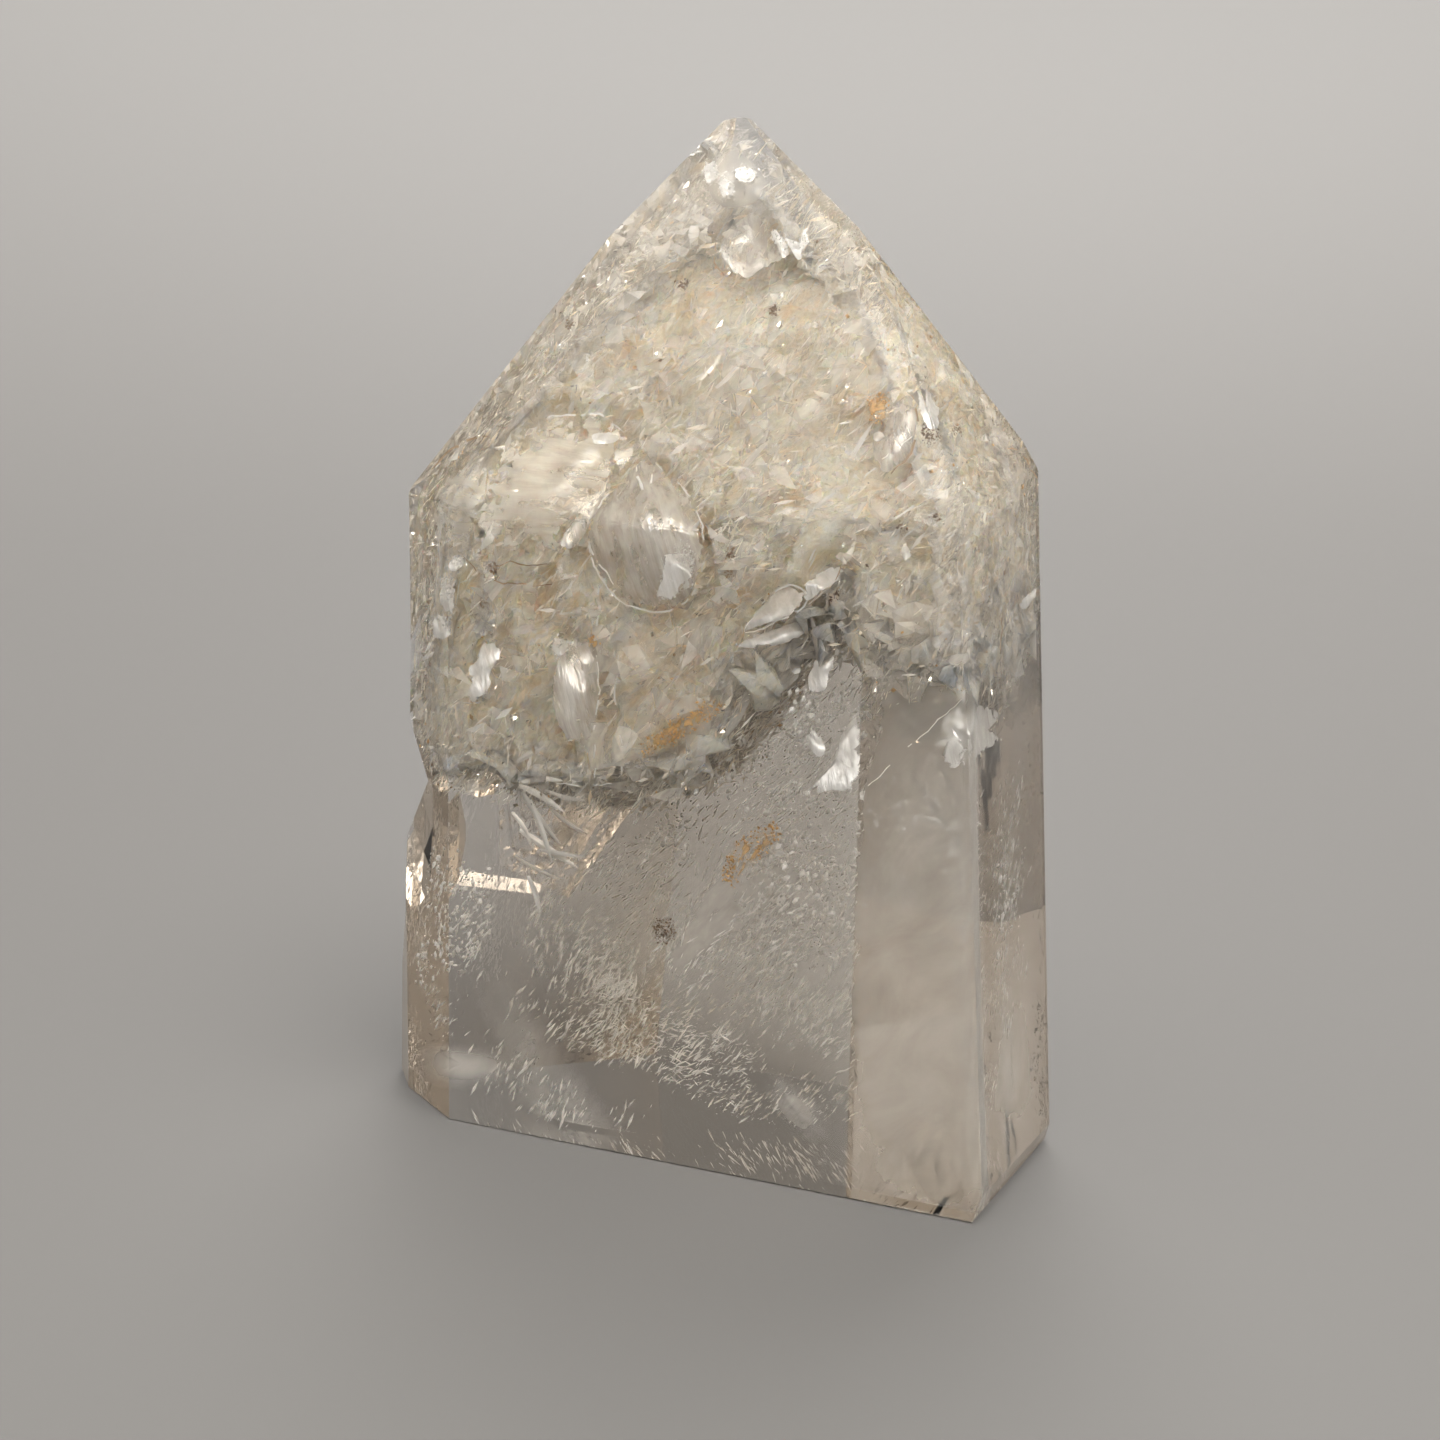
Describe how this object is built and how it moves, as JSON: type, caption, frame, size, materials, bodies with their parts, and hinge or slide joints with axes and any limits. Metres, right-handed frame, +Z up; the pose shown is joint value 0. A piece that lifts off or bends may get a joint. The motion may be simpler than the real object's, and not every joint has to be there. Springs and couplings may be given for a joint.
{
  "type": "skeletal quartz crystal",
  "caption": "Upright polished tower of clear and cloudy quartz with a faceted point, a natural stepped hollow and a flat sawn foot to stand on.",
  "frame": {"origin": "middle of the tower's outline at the level it stands on", "axes": "+Z up to the point; -Y out of the broad front face; +X along that face towards its right edge"},
  "size_m": [0.0838, 0.046, 0.1201],
  "materials": {
    "quartz": "polished clear quartz, filled with cream cloudy fractures in its upper half and with pale flecks below"
  },
  "bodies": {
    "root": {"quartz_crystal": "quartz"}
  },
  "joints": []
}
